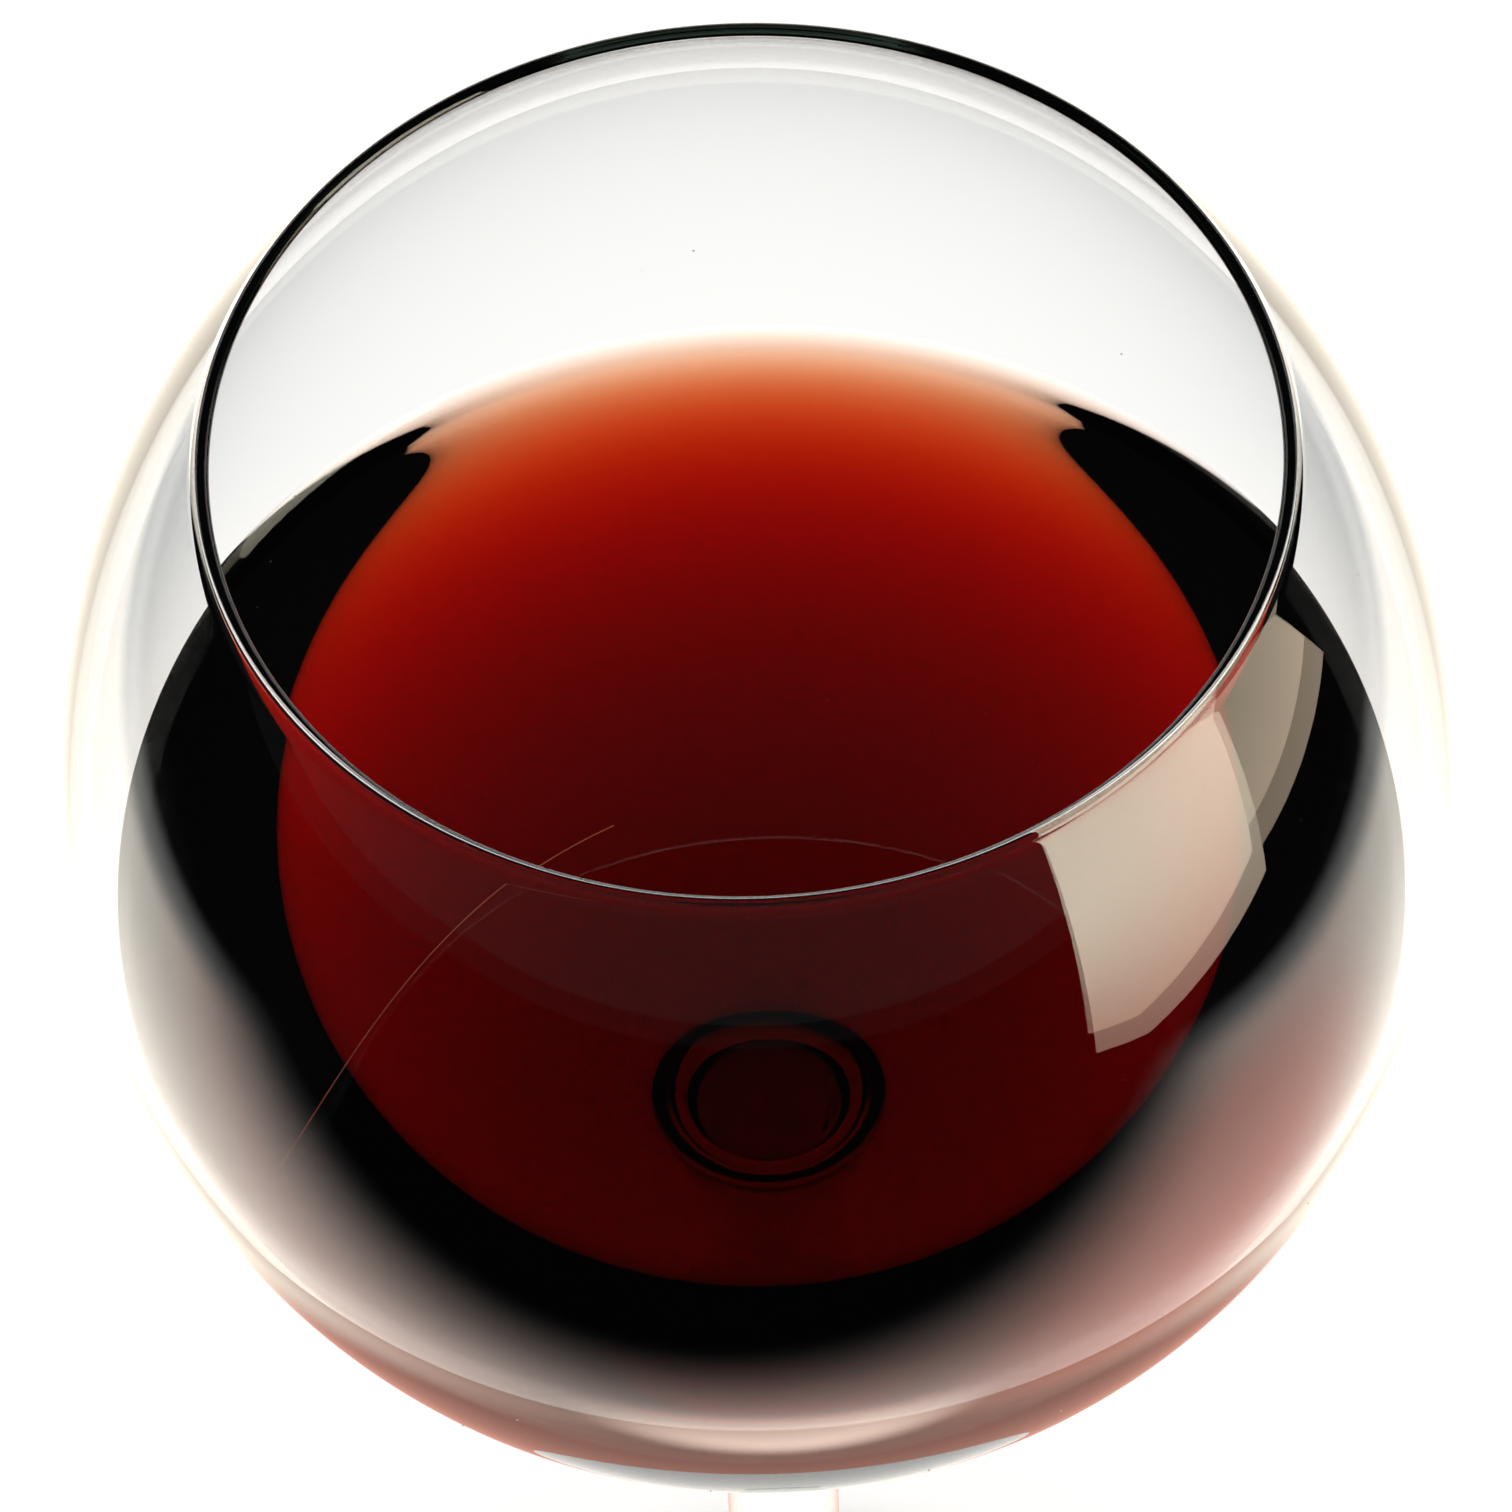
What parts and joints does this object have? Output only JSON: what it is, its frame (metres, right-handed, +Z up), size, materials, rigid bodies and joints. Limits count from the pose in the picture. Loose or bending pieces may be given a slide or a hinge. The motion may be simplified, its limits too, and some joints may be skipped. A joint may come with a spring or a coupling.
{
  "type": "glass of red wine",
  "caption": "Clear balloon wine glass on a stem and round foot, with red wine filling the bowl to just below its widest place",
  "frame": {"origin": "middle of the underside of the foot, on the surface the glass stands on", "axes": "+Z up the stem, +X and +Y alike because the glass is round"},
  "size_m": [0.103, 0.103, 0.2171],
  "materials": {
    "clear_glass": "clear, thin, fire-polished drinking glass",
    "red_wine": "still red wine, near black in depth and orange-red where it is thin"
  },
  "bodies": {
    "root": {"glass": "clear_glass", "wine": "red_wine"}
  },
  "joints": []
}
